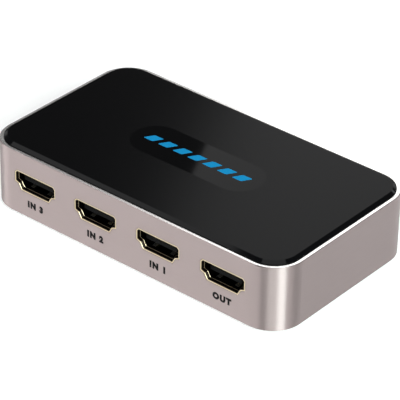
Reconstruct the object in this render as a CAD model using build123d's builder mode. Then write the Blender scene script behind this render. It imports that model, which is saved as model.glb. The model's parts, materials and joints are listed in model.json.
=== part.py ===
from build123d import *
import math
import os

os.makedirs("parts", exist_ok=True)

# A small desk box that switches several video inputs to one output.
# Millimetres. X runs along the box, the sockets face -Y, the select button faces +Y,
# and Z is up. The origin is the middle of the box on the surface that it stands on.

# Case
case_length = 107.0
case_width = 60.0
corner_radius = 9.7
ring_height = 20.3
wall = 1.2
ground_gap = 0.8
rim_break = 0.2
base_break = 0.25
cut_overrun = 0.5

# Screw channels inside the four corners, eight-sided outside
boss_radius = 3.0
boss_sink = 0.5
boss_sides = 8

# Glossy top panel, its adhesive and the tray that carries it
panel_thickness = 2.0
panel_proud = 1.0
panel_bevel_width = 1.03
panel_bevel_height = 0.74
panel_gap = 0.05
adhesive_thickness = 0.2
adhesive_inset = 1.5
tray_thickness = 1.6
tray_gap = 0.12
tray_rib_width = 1.2
tray_rib_height = 1.0
tray_rib_pitch = 11.0
tray_rib_count = 4

# Bottom cover with its standoffs and feet
cover_thickness = 1.6
cover_recess = 0.3
cover_gap = 0.15
standoff_radius = 2.2
foot_size = 7.6
foot_corner = 1.6
foot_inset_x = 15.5
foot_inset_y = 10.0

# Four long screws that hold cover, board, ring and tray together
case_screw_radius = 1.0
case_screw_head = 1.9
case_screw_head_height = 0.8
case_screw_tip_gap = 0.3
case_screw_gap = 0.05
drive_radius = 0.75
drive_depth = 0.6

# Circuit board
board_thickness = 1.6
board_gap_x = 1.0
board_gap_port_side = 0.5
board_key_gap = 0.7
lead_hole_gap = 0.15

# Video socket. The opening is wide above and narrow below, with a knee between.
port_count = 4
port_end_inset = 19.15
port_centre_height = 11.3
video_width = 14.0
video_height = 4.55
video_side = 2.5
video_knee_run = 1.15
video_knee_drop = 0.45
video_floor_width = 9.8
video_corner = 0.35
video_sheet = 0.3
video_depth = 9.2
video_lip = 0.75
video_lip_depth = 0.9
video_mouth_recess = 0.05
video_cutout_gap = 0.12
video_board_gap = 0.725
video_block_length = 2.8
video_spring_width = 1.4
video_spring_gap = 0.3
video_spring_start = 2.2
video_spring_clearance = 0.15
video_spring_bend = 0.45
spring_bend_share = 0.75
spring_tip_share = 0.3
video_spring_spacing = 6.4
video_leg_width = 1.1
video_leg_reach = 1.0
video_leg_root = 0.4
video_front_leg_inset = 1.75
video_rear_leg_inset = 1.0
tongue_width = 11.0
tongue_thickness = 1.6
tongue_recess = 1.6
tongue_rise = 0.3
insulator_gap = 0.03
insulator_tail = 1.4
upper_contact_count = 10
lower_contact_count = 9
contact_pitch = 1.0
contact_width = 0.28
contact_thickness = 0.2
contact_start = 0.5
contact_tail_gap = 0.15

# Power socket on the short side, a small trapezoid opening
power_width = 7.0
power_height = 2.0
power_corner = 0.7
power_sheet = 0.25
power_depth = 5.0
power_lip = 0.6
power_lip_depth = 0.5
power_mouth_recess = 0.4
power_seat_gap = 0.05
power_cutout_gap = 0.3
power_tongue_width = 3.6
power_tongue_thickness = 0.6
power_tongue_recess = 0.8
power_tongue_rise = 0.2
power_block_depth = 3.0
power_contact_count = 5
power_contact_pitch = 0.65
power_contact_width = 0.3
power_contact_thickness = 0.15
power_leg_width = 1.2
power_leg_depth = 3.4
power_leg_reach = 0.8

# Select button and the tactile switch behind it
key_inset_x = 23.5
key_radius = 3.0
key_gap = 0.15
key_proud = 0.9
key_edge_break = 0.35
key_flange_radius = 4.0
key_flange_thickness = 1.0
key_flange_gap = 0.3
key_travel = 0.3
switch_size = 6.0
switch_depth = 3.4
switch_cover_thickness = 0.3
switch_corner = 0.5
switch_board_gap = 0.3
plunger_radius = 1.75
plunger_flange_size = 4.2
plunger_flange_thickness = 0.5
plunger_length = 3.2
plunger_gap = 0.1
dome_radius = 2.0
dome_spare = 0.04
dome_thickness = 0.08
dome_leg_width = 1.2
dome_gap = 0.02
switch_leg_width = 0.7
switch_leg_thickness = 0.3
switch_leg_spread = 4.5
switch_leg_pitch = 2.2
switch_leg_reach = 0.9

# Indicator lights
indicator_count = 3
indicator_pitch = 8.0
indicator_radius = 1.5
indicator_hole_gap = 0.1
indicator_proud = 0.5
indicator_length = 5.0
indicator_lead_size = 0.5
indicator_lead_pitch = 2.54
indicator_lead_run = 1.6
indicator_lead_reach = 1.0

# Infrared window and the receiver behind it
window_inset_x = 23.5
window_width = 9.0
window_height = 5.0
window_gap = 0.08
window_flange = 0.8
window_flange_thickness = 0.9
receiver_width = 5.0
receiver_height = 6.2
receiver_depth = 2.8
receiver_lens_radius = 1.8
receiver_lens_depth = 1.2
receiver_window_gap = 0.6
receiver_seat = 0.4
receiver_lead_pitch = 1.6
receiver_lead_size = 0.45

# Chips and small components on the board
chip_stand = 0.1
switch_chip_size = 7.0
switch_chip_height = 1.4
switch_chip_side_count = 8
switch_chip_lead_pitch = 0.75
switch_chip_lead_width = 0.22
switch_chip_shares = (0.0585, 0.256)
controller_length = 9.9
controller_width = 3.9
controller_height = 1.5
controller_side_count = 8
controller_lead_pitch = 1.27
controller_lead_width = 0.42
controller_shares = (-0.39, 0.427)
chip_edge = 0.25
lead_reach = 1.0
lead_foot = 0.5
lead_thickness = 0.15
lead_root = 0.02
regulator_lead_count = 3
regulator_length = 6.5
regulator_width = 3.5
regulator_height = 1.6
regulator_lead_pitch = 2.3
regulator_lead_width = 0.7
regulator_tab_width = 3.0
regulator_shares = (-0.741, 0.451)
crystal_length = 11.0
crystal_width = 4.6
crystal_height = 3.5
crystal_shares = (0.409, 0.256)
can_radius = 3.15
can_height = 5.4
can_base_size = 6.6
can_base_height = 1.0
can_shares = (-0.741, 0.171)
can_pitch = 8.0
block_length = 1.6
block_width = 0.8
block_height = 0.8
block_pitch = 2.0
block_count = 4
block_row_gap = 4.5
resistor_height = 0.5
resistor_row_count = 2
resistor_column_count = 5
resistor_pitch_x = 2.6
resistor_pitch_y = 2.0
resistor_shares = (0.39, 0.549)

# Heights worked out from the stack
ring_bottom = ground_gap
ring_top = ring_bottom + ring_height
panel_top = ring_top + panel_proud
panel_bottom = panel_top - panel_thickness
tray_top = panel_bottom - adhesive_thickness
tray_bottom = tray_top - tray_thickness
cover_bottom = ring_bottom + cover_recess
cover_top = cover_bottom + cover_thickness
port_z = ring_bottom + port_centre_height
board_top = port_z - video_height / 2 - video_sheet - video_board_gap
board_bottom = board_top - board_thickness
key_z = board_top + switch_board_gap + switch_size / 2

# Plan sizes worked out from the case
inner_length = case_length - 2 * wall
inner_width = case_width - 2 * wall
inner_radius = corner_radius - wall
board_end = inner_length / 2 - board_gap_x
board_port_edge = -inner_width / 2 + board_gap_port_side
port_face = -case_width / 2
key_face = case_width / 2
key_wall = key_face - wall
flange_front = key_wall - key_flange_gap
flange_back = flange_front - key_flange_thickness
board_key_edge = flange_back - key_travel - board_key_gap
power_face = -case_length / 2

boss_reach = (inner_radius - boss_radius + boss_sink) / math.sqrt(2)
boss_x = case_length / 2 - corner_radius + boss_reach
boss_y = case_width / 2 - corner_radius + boss_reach
boss_places = [(x, y) for x in (-boss_x, boss_x) for y in (-boss_y, boss_y)]
foot_x = case_length / 2 - foot_inset_x
foot_y = case_width / 2 - foot_inset_y
foot_places = [(x, y) for x in (-foot_x, foot_x) for y in (-foot_y, foot_y)]
key_x = key_inset_x - case_length / 2
window_x = case_length / 2 - window_inset_x
port_pitch = (case_length - 2 * port_end_inset) / (port_count - 1)
port_xs = [(i - (port_count - 1) / 2) * port_pitch for i in range(port_count)]
indicator_xs = [
    (i - (indicator_count - 1) / 2) * indicator_pitch for i in range(indicator_count)
]


def save(piece, label):
    """Name a finished piece and write it to its own file."""
    piece.part.label = label
    export_step(piece.part, f"parts/{label}.step")


def prism(z, height, length, width, radius):
    """Upright slab with a rounded outline, from height z."""
    with BuildPart() as slab:
        with BuildSketch(Plane.XY.offset(z)):
            RectangleRounded(length, width, radius)
        extrude(amount=height)
    return slab.part


def block(low, high):
    """Box between two corners."""
    size = [b - a for a, b in zip(low, high)]
    centre = [(a + b) / 2 for a, b in zip(low, high)]
    with BuildPart(Plane(origin=centre)) as box:
        Box(*size)
    return box.part


def turned_along_y(profile, x, z):
    """Solid of revolution about a line along Y, from a profile of (radius, y) points."""
    with BuildPart() as solid:
        with BuildSketch(Plane.XY.offset(z)):
            with BuildLine():
                Polyline(*[(x + radius, y) for radius, y in profile], close=True)
            make_face()
        revolve(axis=Axis((x, 0, z), (0, 1, 0)))
    return solid.part


def strip(plane, points, width):
    """Bent sheet or wire: an outline on a plane, widened evenly to both sides."""
    with BuildPart() as solid:
        with BuildSketch(plane):
            with BuildLine():
                Polyline(*points, close=True)
            make_face()
        extrude(amount=width / 2, both=True)
    return solid.part


def copies(part, places):
    """The same solid at several places, as one part."""
    with BuildPart() as group:
        with Locations(*places):
            add(part)
    return group


# Profiles of the sockets


def grown_outline(points, grow):
    """Straight-sided outline, grown evenly."""
    with BuildSketch() as profile:
        with BuildLine():
            Polyline(*points, close=True)
        make_face()
        if grow != 0:
            offset(amount=grow, kind=Kind.INTERSECTION)
    return profile


def video_profile(grow):
    """Opening of a video socket, wide side up, its upper corners cut off, grown evenly."""
    top, bottom = video_height / 2, -video_height / 2
    edge, knee = video_width / 2, video_width / 2 - video_knee_run
    right = [
        (video_floor_width / 2, bottom),
        (knee, top - video_side - video_knee_drop),
        (edge, top - video_side),
        (edge, top - video_corner),
        (edge - video_corner, top),
    ]
    left = [(-x, y) for x, y in reversed(right)]
    return grown_outline(right + left, grow).sketch


def power_profile(grow):
    """Opening of the power socket, with its lower corners cut off, grown evenly."""
    side, top, bottom = power_width / 2, power_height / 2, -power_height / 2
    right = [
        (side - power_corner, bottom),
        (side, bottom + power_corner),
        (side, top),
    ]
    left = [(-x, y) for x, y in reversed(right)]
    return grown_outline(right + left, grow).sketch


def flared_shell(mouth, profile, depth, sheet, lip, lip_depth):
    """Thin tube behind a mouth plane, whose front edge opens out into a lip."""
    throat = mouth.offset(-lip_depth)
    with BuildPart() as shell:
        for outline, mode in ((sheet, Mode.ADD), (0, Mode.SUBTRACT)):
            with BuildSketch(throat):
                add(profile(outline))
            extrude(amount=lip_depth - depth, mode=mode)
        with BuildSketch(mouth):
            add(profile(lip))
        with BuildSketch(throat):
            add(profile(sheet))
        loft(ruled=True)
        with BuildSketch(mouth):
            add(profile(lip - sheet))
        with BuildSketch(throat):
            add(profile(0))
        loft(ruled=True, mode=Mode.SUBTRACT)
    return shell.part


# Housing ring

screw_clearance = case_screw_radius + case_screw_gap


def screw_hole(mode):
    """Many-sided hole round a case screw, as far from it on every side."""
    RegularPolygon(screw_clearance, boss_sides, major_radius=False, mode=mode)


key_hole_radius = key_radius + key_gap
indicator_hole_radius = indicator_radius + indicator_hole_gap
port_wall_plane = Plane(origin=(0, port_face, port_z), x_dir=(1, 0, 0), z_dir=(0, -1, 0))
key_wall_plane = Plane(origin=(0, key_face, key_z), x_dir=(1, 0, 0), z_dir=(0, 1, 0))
power_z = board_top + power_seat_gap + power_sheet + power_height / 2
power_wall_plane = Plane(
    origin=(power_face, 0, power_z), x_dir=(0, -1, 0), z_dir=(-1, 0, 0)
)

with BuildPart() as housing_ring:
    with BuildSketch(Plane.XY.offset(ring_bottom)):
        RectangleRounded(case_length, case_width, corner_radius)
    extrude(amount=ring_height)
    chamfer(housing_ring.edges().group_by(Axis.Z)[-1], rim_break)
    chamfer(housing_ring.edges().group_by(Axis.Z)[0], base_break)
    with BuildSketch(Plane.XY.offset(ring_bottom)):
        RectangleRounded(inner_length, inner_width, inner_radius)
    extrude(amount=ring_height, mode=Mode.SUBTRACT)
    with BuildSketch(Plane.XY.offset(board_top)):
        with Locations(*boss_places):
            RegularPolygon(boss_radius, boss_sides)
            screw_hole(Mode.SUBTRACT)
    extrude(amount=tray_bottom - board_top)
    with BuildSketch(port_wall_plane):
        with Locations(*[(x, 0) for x in port_xs]):
            add(video_profile(video_lip + video_cutout_gap))
    extrude(amount=-wall - cut_overrun, mode=Mode.SUBTRACT)
    with BuildSketch(key_wall_plane):
        with Locations((key_x, 0)):
            Circle(key_hole_radius)
        with Locations(*[(x, 0) for x in indicator_xs]):
            Circle(indicator_hole_radius)
        with Locations((window_x, 0)):
            SlotOverall(window_width, window_height)
    extrude(amount=-wall - cut_overrun, mode=Mode.SUBTRACT)
    with BuildSketch(power_wall_plane):
        add(power_profile(power_lip + power_cutout_gap))
    extrude(amount=-wall - cut_overrun, mode=Mode.SUBTRACT)
save(housing_ring, "housing_ring")


# Top panel, adhesive and tray

with BuildPart() as top_panel:
    with BuildSketch(Plane.XY.offset(panel_bottom)):
        RectangleRounded(
            inner_length - 2 * panel_gap, inner_width - 2 * panel_gap, inner_radius - panel_gap
        )
    extrude(amount=panel_thickness)
    top_face = top_panel.faces().sort_by(Axis.Z)[-1]
    chamfer(
        top_face.edges(), length=panel_bevel_width, length2=panel_bevel_height, reference=top_face
    )
save(top_panel, "top_panel")

with BuildPart() as panel_adhesive:
    with BuildSketch(Plane.XY.offset(tray_top)):
        sheet = Rectangle(inner_length - 2 * adhesive_inset, inner_width - 2 * adhesive_inset)
        chamfer(sheet.vertices(), inner_radius - adhesive_inset)
    extrude(amount=adhesive_thickness)
save(panel_adhesive, "panel_adhesive")


with BuildPart() as top_tray:
    add(
        prism(
            tray_bottom,
            tray_thickness,
            inner_length - 2 * tray_gap,
            inner_width - 2 * tray_gap,
            inner_radius - tray_gap,
        )
    )
    with BuildSketch(Plane.XY.offset(tray_bottom)):
        with GridLocations(0, tray_rib_pitch, 1, tray_rib_count):
            Rectangle(2 * (boss_x - boss_radius) - 2 * tray_rib_width, tray_rib_width)
    extrude(amount=-tray_rib_height)
    with BuildSketch(Plane.XY.offset(tray_bottom)):
        with Locations(*boss_places):
            screw_hole(Mode.ADD)
    extrude(amount=tray_thickness, mode=Mode.SUBTRACT)
save(top_tray, "top_tray")


# Screws, from the bottom cover up into the tray

screw_length = tray_top - case_screw_tip_gap - cover_bottom

with BuildPart() as case_screw:
    with BuildSketch(Plane.XZ):
        with BuildLine():
            Polyline(
                (0, -case_screw_head_height),
                (case_screw_head, -case_screw_head_height),
                (case_screw_head, 0),
                (case_screw_radius, 0),
                (case_screw_radius, screw_length),
                (0, screw_length),
                close=True,
            )
        make_face()
    revolve(axis=Axis.Z)
    with BuildSketch(Plane.XY.offset(-case_screw_head_height)):
        RegularPolygon(drive_radius, 6)
    extrude(amount=drive_depth, mode=Mode.SUBTRACT)

cover_screws = copies(case_screw.part, [(x, y, cover_bottom) for x, y in boss_places])
save(cover_screws, "cover_screws")


# Bottom cover and feet

with BuildPart() as bottom_cover:
    add(
        prism(
            cover_bottom,
            cover_thickness,
            inner_length - 2 * cover_gap,
            inner_width - 2 * cover_gap,
            inner_radius - cover_gap,
        )
    )
    with BuildSketch(Plane.XY.offset(cover_top)):
        with Locations(*boss_places):
            RegularPolygon(standoff_radius, boss_sides)
    extrude(amount=board_bottom - cover_top)
    with BuildSketch(Plane.XY.offset(cover_bottom)):
        with Locations(*boss_places):
            screw_hole(Mode.ADD)
    extrude(amount=board_bottom - cover_bottom, mode=Mode.SUBTRACT)
save(bottom_cover, "bottom_cover")

with BuildPart() as rubber_feet:
    with BuildSketch():
        with Locations(*foot_places):
            foot_outline = Rectangle(foot_size, foot_size)
        chamfer(foot_outline.vertices(), foot_corner)
    extrude(amount=cover_bottom)
save(rubber_feet, "rubber_feet")


# Video sockets

video_mouth = Plane(
    origin=(0, port_face + video_mouth_recess, port_z), x_dir=(1, 0, 0), z_dir=(0, -1, 0)
)
mouth_y = port_face + video_mouth_recess
leg_ys = (
    board_port_edge + video_front_leg_inset,
    mouth_y + video_depth - video_rear_leg_inset,
)
leg_x = video_width / 2 + video_sheet / 2
tongue_z = port_z + tongue_rise
block_depth = video_depth - video_block_length
spring_length = block_depth - video_spring_start - video_spring_gap - video_spring_clearance


def spring_points(wall_height, sign):
    """Side view of a contact spring as (depth, height), bent from the wall to the inside."""
    end = video_spring_start + spring_length
    bend = video_spring_start + spring_bend_share * spring_length
    inner = [
        (video_spring_start - video_sheet, 0),
        (video_spring_start, 0),
        (bend, video_spring_bend),
        (end, spring_tip_share * video_spring_bend),
    ]
    outer = [(depth, height - video_sheet) for depth, height in reversed(inner)]
    return [
        (mouth_y + depth, wall_height - sign * height) for depth, height in inner + outer
    ]


with BuildPart() as video_shell:
    add(
        flared_shell(
            video_mouth, video_profile, video_depth, video_sheet, video_lip, video_lip_depth
        )
    )
    window = video_spring_width + 2 * video_spring_gap
    window_start = mouth_y + video_spring_start
    window_end = window_start + spring_length + video_spring_gap
    for sign in (-1, 1):
        wall_z = port_z + sign * video_height / 2
        for spring_x in (-video_spring_spacing / 2, video_spring_spacing / 2):
            add(
                block(
                    (spring_x - window / 2, window_start, wall_z - video_sheet),
                    (spring_x + window / 2, window_end, wall_z + video_sheet),
                ),
                mode=Mode.SUBTRACT,
            )
            spring_plane = Plane.YZ.offset(spring_x)
            add(strip(spring_plane, spring_points(wall_z, sign), video_spring_width))
        for leg_y in leg_ys:
            add(
                block(
                    (
                        sign * leg_x - video_sheet / 2,
                        leg_y - video_leg_width / 2,
                        board_bottom - video_leg_reach,
                    ),
                    (
                        sign * leg_x + video_sheet / 2,
                        leg_y + video_leg_width / 2,
                        port_z + video_height / 2 - video_side + video_leg_root,
                    ),
                )
            )

contact_top = tongue_z + tongue_thickness / 2
contact_bottom = tongue_z - tongue_thickness / 2
tongue_top = contact_top - contact_thickness
tongue_bottom = contact_bottom + contact_thickness
contact_front = mouth_y + tongue_recess + contact_start
insulator_rear = mouth_y + video_depth + insulator_tail
tail_front = insulator_rear + contact_tail_gap
tail_rear = tail_front + contact_thickness
contact_rows = (
    (upper_contact_count, contact_top, tongue_top),
    (lower_contact_count, tongue_bottom, contact_bottom),
)


def row_places(count):
    """Places along X of one row of contacts, centred on the socket."""
    return [((i - (count - 1) / 2) * contact_pitch, 0, 0) for i in range(count)]


with BuildPart() as video_insulator:
    with BuildSketch(video_mouth.offset(-block_depth)):
        add(video_profile(-insulator_gap))
    extrude(amount=-video_block_length)
    add(
        block(
            (-tongue_width / 2, mouth_y + tongue_recess, tongue_bottom),
            (tongue_width / 2, mouth_y + video_depth, tongue_top),
        )
    )
    add(
        block(
            (-video_width / 2, mouth_y + video_depth, board_top),
            (video_width / 2, insulator_rear, port_z + video_height / 2),
        )
    )
    for count, high, low in contact_rows:
        add(
            block(
                (-count * contact_pitch / 2, mouth_y + block_depth, low),
                (count * contact_pitch / 2, insulator_rear, high),
            ),
            mode=Mode.SUBTRACT,
        )

with BuildPart() as video_contacts:
    for count, high, low in contact_rows:
        bent_wire = [
            (contact_front, high),
            (tail_rear, high),
            (tail_rear, board_top),
            (tail_front, board_top),
            (tail_front, low),
            (contact_front, low),
        ]
        with Locations(*row_places(count)):
            add(strip(Plane.YZ, bent_wire, contact_width))

port_names = [f"input_{port_count - 1 - i}" for i in range(port_count - 1)] + ["output"]
for port_name, port_x in zip(port_names, port_xs):
    for piece_name, piece in (
        ("shell", video_shell),
        ("insulator", video_insulator),
        ("contacts", video_contacts),
    ):
        placed = copies(piece.part, [(port_x, 0, 0)])
        save(placed, f"{port_name}_{piece_name}")


# Power socket

power_mouth = power_wall_plane.offset(-power_mouth_recess)
power_x = power_face + power_mouth_recess
power_leg_y = power_width / 2 + power_sheet / 2

with BuildPart() as power_socket_shell:
    add(
        flared_shell(
            power_mouth, power_profile, power_depth, power_sheet, power_lip, power_lip_depth
        )
    )
    for sign in (-1, 1):
        add(
            block(
                (
                    power_x + power_leg_depth - power_leg_width / 2,
                    sign * power_leg_y - power_sheet / 2,
                    board_bottom - power_leg_reach,
                ),
                (
                    power_x + power_leg_depth + power_leg_width / 2,
                    sign * power_leg_y + power_sheet / 2,
                    power_z + power_height / 2,
                ),
            )
        )
save(power_socket_shell, "power_socket_shell")

power_tongue_z = power_z + power_tongue_rise
power_contact_low = power_tongue_z - power_tongue_thickness / 2
power_contact_high = power_contact_low + power_contact_thickness
power_rear = power_x + power_depth
power_contact_front = power_x + power_tongue_recess + contact_start
power_contact_places = [
    (0, (i - (power_contact_count - 1) / 2) * power_contact_pitch, 0) for i in range(power_contact_count)
]

with BuildPart() as power_socket_insulator:
    with BuildSketch(power_mouth.offset(-power_block_depth)):
        add(power_profile(-insulator_gap))
    extrude(amount=power_block_depth - power_depth)
    add(
        block(
            (
                power_x + power_tongue_recess,
                -power_tongue_width / 2,
                power_contact_high,
            ),
            (power_rear, power_tongue_width / 2, power_tongue_z + power_tongue_thickness / 2),
        )
    )
    add(
        block(
            (power_x + power_block_depth, -power_tongue_width / 2, power_contact_low),
            (power_rear, power_tongue_width / 2, power_contact_high),
        ),
        mode=Mode.SUBTRACT,
    )
save(power_socket_insulator, "power_socket_insulator")

power_tail = power_rear + contact_tail_gap
with BuildPart() as power_socket_contacts:
    power_wire = [
        (power_contact_front, power_contact_high),
        (power_tail + power_contact_thickness, power_contact_high),
        (power_tail + power_contact_thickness, board_top),
        (power_tail, board_top),
        (power_tail, power_contact_low),
        (power_contact_front, power_contact_low),
    ]
    with Locations(*power_contact_places):
        add(strip(Plane.XZ, power_wire, power_contact_width))
save(power_socket_contacts, "power_socket_contacts")


# Select button and tactile switch

key_tip = key_face + key_proud
plunger_tip = flange_back
plunger_back = plunger_tip - plunger_length
plunger_shoulder = plunger_back + plunger_flange_thickness
dome_rise = key_travel + dome_spare
switch_back = plunger_shoulder - switch_depth
pocket_floor = plunger_back - dome_gap - dome_thickness - dome_rise

with BuildPart() as select_button:
    add(
        turned_along_y(
            [
                (0, flange_back),
                (key_flange_radius, flange_back),
                (key_flange_radius, flange_front),
                (key_radius, flange_front),
                (key_radius, key_tip),
                (0, key_tip),
            ],
            key_x,
            key_z,
        )
    )
    chamfer(select_button.edges().group_by(Axis.Y)[-1], key_edge_break)
save(select_button, "select_button")

switch_plane = Plane(origin=(key_x, switch_back, key_z), x_dir=(1, 0, 0), z_dir=(0, 1, 0))
plunger_plane = switch_plane.offset(plunger_back - switch_back)
pocket_size = plunger_flange_size + 2 * plunger_gap

with BuildPart() as switch_plunger:
    with BuildSketch(plunger_plane):
        Rectangle(plunger_flange_size, plunger_flange_size)
    extrude(amount=plunger_flange_thickness)
    with BuildSketch(plunger_plane):
        Circle(plunger_radius)
    extrude(amount=plunger_length)
save(switch_plunger, "switch_plunger")

with BuildPart() as switch_base:
    with BuildSketch(switch_plane):
        body_outline = Rectangle(switch_size, switch_size)
        chamfer(body_outline.vertices(), switch_corner)
    extrude(amount=switch_depth)
    with BuildSketch(switch_plane.offset(switch_depth)):
        Rectangle(pocket_size, pocket_size)
    extrude(amount=pocket_floor - plunger_shoulder, mode=Mode.SUBTRACT)
save(switch_base, "switch_base")

with BuildPart() as switch_cover:
    with BuildSketch(switch_plane.offset(switch_depth)):
        cover_outline = Rectangle(switch_size, switch_size)
        chamfer(cover_outline.vertices(), switch_corner)
        Circle(plunger_radius + plunger_gap, mode=Mode.SUBTRACT)
    extrude(amount=switch_cover_thickness)
save(switch_cover, "switch_cover")

dome_top = pocket_floor + dome_rise

leg_outline = [
    (-dome_radius, pocket_floor),
    (0, dome_top),
    (dome_radius, pocket_floor),
    (dome_radius, pocket_floor + dome_thickness),
    (0, dome_top + dome_thickness),
    (-dome_radius, pocket_floor + dome_thickness),
]

with BuildPart() as switch_dome:
    add(
        strip(Plane.XY.offset(key_z), [(key_x + r, y) for r, y in leg_outline], dome_leg_width)
    )
    add(
        strip(Plane.YZ.offset(key_x), [(y, key_z + r) for r, y in leg_outline], dome_leg_width)
    )
save(switch_dome, "switch_dome")

terminal_y = switch_back + switch_depth / 2
leg_top = key_z - switch_size / 2
terminal_xs = [key_x - switch_leg_spread / 2, key_x + switch_leg_spread / 2]
terminal_ys = [terminal_y - switch_leg_pitch / 2, terminal_y + switch_leg_pitch / 2]
terminal_places = [(x, y) for x in terminal_xs for y in terminal_ys]

with BuildPart() as switch_terminals:
    with BuildSketch(Plane.XY.offset(leg_top)):
        with Locations(*terminal_places):
            Rectangle(switch_leg_width, switch_leg_thickness)
    extrude(amount=board_bottom - switch_leg_reach - leg_top)
save(switch_terminals, "switch_terminals")


# Indicator lights

lens_tip = key_face + indicator_proud
lens_back = lens_tip - indicator_length
indicator_leads = [
    (x + side * indicator_lead_pitch / 2, lens_back - indicator_lead_run)
    for x in indicator_xs
    for side in (-1, 1)
]
lead_tip = board_bottom - indicator_lead_reach


def bent_lead(height, start_y, end_y, size):
    """Round-the-corner lead: back from a component, then down through the board."""
    return [
        (start_y, height + size / 2),
        (end_y - size / 2, height + size / 2),
        (end_y - size / 2, lead_tip),
        (end_y + size / 2, lead_tip),
        (end_y + size / 2, height - size / 2),
        (start_y, height - size / 2),
    ]


with BuildPart() as indicator_lens:
    add(
        turned_along_y(
            [
                (0, lens_back),
                (indicator_radius, lens_back),
                (indicator_radius, lens_tip),
                (0, lens_tip),
            ],
            0,
            key_z,
        )
    )

for number, lens_x in enumerate(reversed(indicator_xs), start=1):
    save(copies(indicator_lens.part, [(lens_x, 0, 0)]), f"indicator_{number}_lens")

with BuildPart() as indicator_lead_set:
    lead_y = lens_back - indicator_lead_run
    lead_outline = bent_lead(key_z, lens_back, lead_y, indicator_lead_size)
    with Locations(*[(x, 0, 0) for x, y in indicator_leads]):
        add(strip(Plane.YZ, lead_outline, indicator_lead_size))
save(indicator_lead_set, "indicator_leads")


# Infrared window and receiver

window_back = key_wall - window_flange_thickness
window_plane = Plane(origin=(window_x, window_back, key_z), x_dir=(1, 0, 0), z_dir=(0, 1, 0))

with BuildPart() as infrared_window:
    with BuildSketch(window_plane):
        Rectangle(window_width + 2 * window_flange, window_height + 2 * window_flange)
    extrude(amount=window_flange_thickness)
    with BuildSketch(window_plane.offset(window_flange_thickness)):
        SlotOverall(window_width - 2 * window_gap, window_height - 2 * window_gap)
    extrude(amount=wall)
save(infrared_window, "infrared_window")

receiver_tip = window_back - receiver_window_gap
receiver_front = receiver_tip - receiver_lens_depth
receiver_back = receiver_front - receiver_depth
receiver_low = board_top + receiver_seat

with BuildPart() as infrared_receiver:
    add(
        block(
            (window_x - receiver_width / 2, receiver_back, receiver_low),
            (window_x + receiver_width / 2, receiver_front, receiver_low + receiver_height),
        )
    )
    with BuildSketch(Plane(origin=(window_x, receiver_front, key_z), z_dir=(0, 1, 0))):
        Circle(receiver_lens_radius)
    extrude(amount=receiver_lens_depth)
save(infrared_receiver, "infrared_receiver")

receiver_mid = (receiver_front + receiver_back) / 2
receiver_places = [
    (window_x + i * receiver_lead_pitch, receiver_mid) for i in (-1, 0, 1)
]

with BuildPart() as infrared_receiver_leads:
    with BuildSketch(Plane.XY.offset(receiver_low)):
        with Locations(*receiver_places):
            Rectangle(receiver_lead_size, receiver_lead_size)
    extrude(amount=lead_tip - receiver_low)
save(infrared_receiver_leads, "infrared_receiver_leads")


# Chips

block_row_y = tail_rear + block_row_gap


def on_board(shares):
    """Place on the board, as shares of its half length and of the depth behind the sockets."""
    share_x, share_y = shares
    return share_x * board_end, block_row_y + share_y * (board_key_edge - block_row_y)


switch_chip_x, switch_chip_y = on_board(switch_chip_shares)
controller_x, controller_y = on_board(controller_shares)
regulator_x, regulator_y = on_board(regulator_shares)
crystal_x, crystal_y = on_board(crystal_shares)
can_x, can_y = on_board(can_shares)
resistor_x, resistor_y = on_board(resistor_shares)


def chip_body(x, y, length, width, height):
    """Moulded chip package standing just above the board, with a chamfered top."""
    with BuildPart() as body:
        add(
            block(
                (x - length / 2, y - width / 2, board_top + chip_stand),
                (x + length / 2, y + width / 2, board_top + chip_stand + height),
            )
        )
        chamfer(body.edges().group_by(Axis.Z)[-1], chip_edge)
    return body


def wing_lead(start, height):
    """Side view of a lead that slopes from a package down to its foot on the board."""
    end = start + lead_reach
    knee = end - lead_foot
    return [
        (start + lead_root, height + lead_thickness),
        (knee, board_top + lead_thickness),
        (end, board_top + lead_thickness),
        (end, board_top),
        (knee, board_top),
        (start + lead_root, height),
    ]


def lead_rows(x, y, body_width, height, offsets, lead_width, turns):
    """Rows of leads on the sides of a package, one row for each quarter turn named."""
    level = board_top + chip_stand + height / 2
    one_lead = strip(Plane.XZ, wing_lead(body_width / 2, level), lead_width)
    places = [
        Location((x, y, 0), (0, 0, turn)) * Location((0, offset_y, 0))
        for turn in turns
        for offset_y in offsets
    ]
    return copies(one_lead, places)


def centred(count, pitch):
    """Evenly spaced places about the middle."""
    return [(i - (count - 1) / 2) * pitch for i in range(count)]


save(
    chip_body(
        switch_chip_x, switch_chip_y, switch_chip_size, switch_chip_size, switch_chip_height
    ),
    "switch_chip",
)
save(
    lead_rows(
        switch_chip_x,
        switch_chip_y,
        switch_chip_size,
        switch_chip_height,
        centred(switch_chip_side_count, switch_chip_lead_pitch),
        switch_chip_lead_width,
        (0, 90, 180, 270),
    ),
    "switch_chip_leads",
)
save(
    chip_body(
        controller_x, controller_y, controller_length, controller_width, controller_height
    ),
    "control_chip",
)
save(
    lead_rows(
        controller_x,
        controller_y,
        controller_width,
        controller_height,
        centred(controller_side_count, controller_lead_pitch),
        controller_lead_width,
        (90, 270),
    ),
    "control_chip_leads",
)
save(
    chip_body(
        regulator_x, regulator_y, regulator_length, regulator_width, regulator_height
    ),
    "voltage_regulator",
)
with BuildPart() as voltage_regulator_leads:
    add(
        lead_rows(
            regulator_x,
            regulator_y,
            regulator_width,
            regulator_height,
            centred(regulator_lead_count, regulator_lead_pitch),
            regulator_lead_width,
            (270,),
        ).part
    )
    add(
        lead_rows(
            regulator_x,
            regulator_y,
            regulator_width,
            regulator_height,
            (0,),
            regulator_tab_width,
            (90,),
        ).part
    )
save(voltage_regulator_leads, "voltage_regulator_leads")


# Crystal, capacitors and resistors

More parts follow.
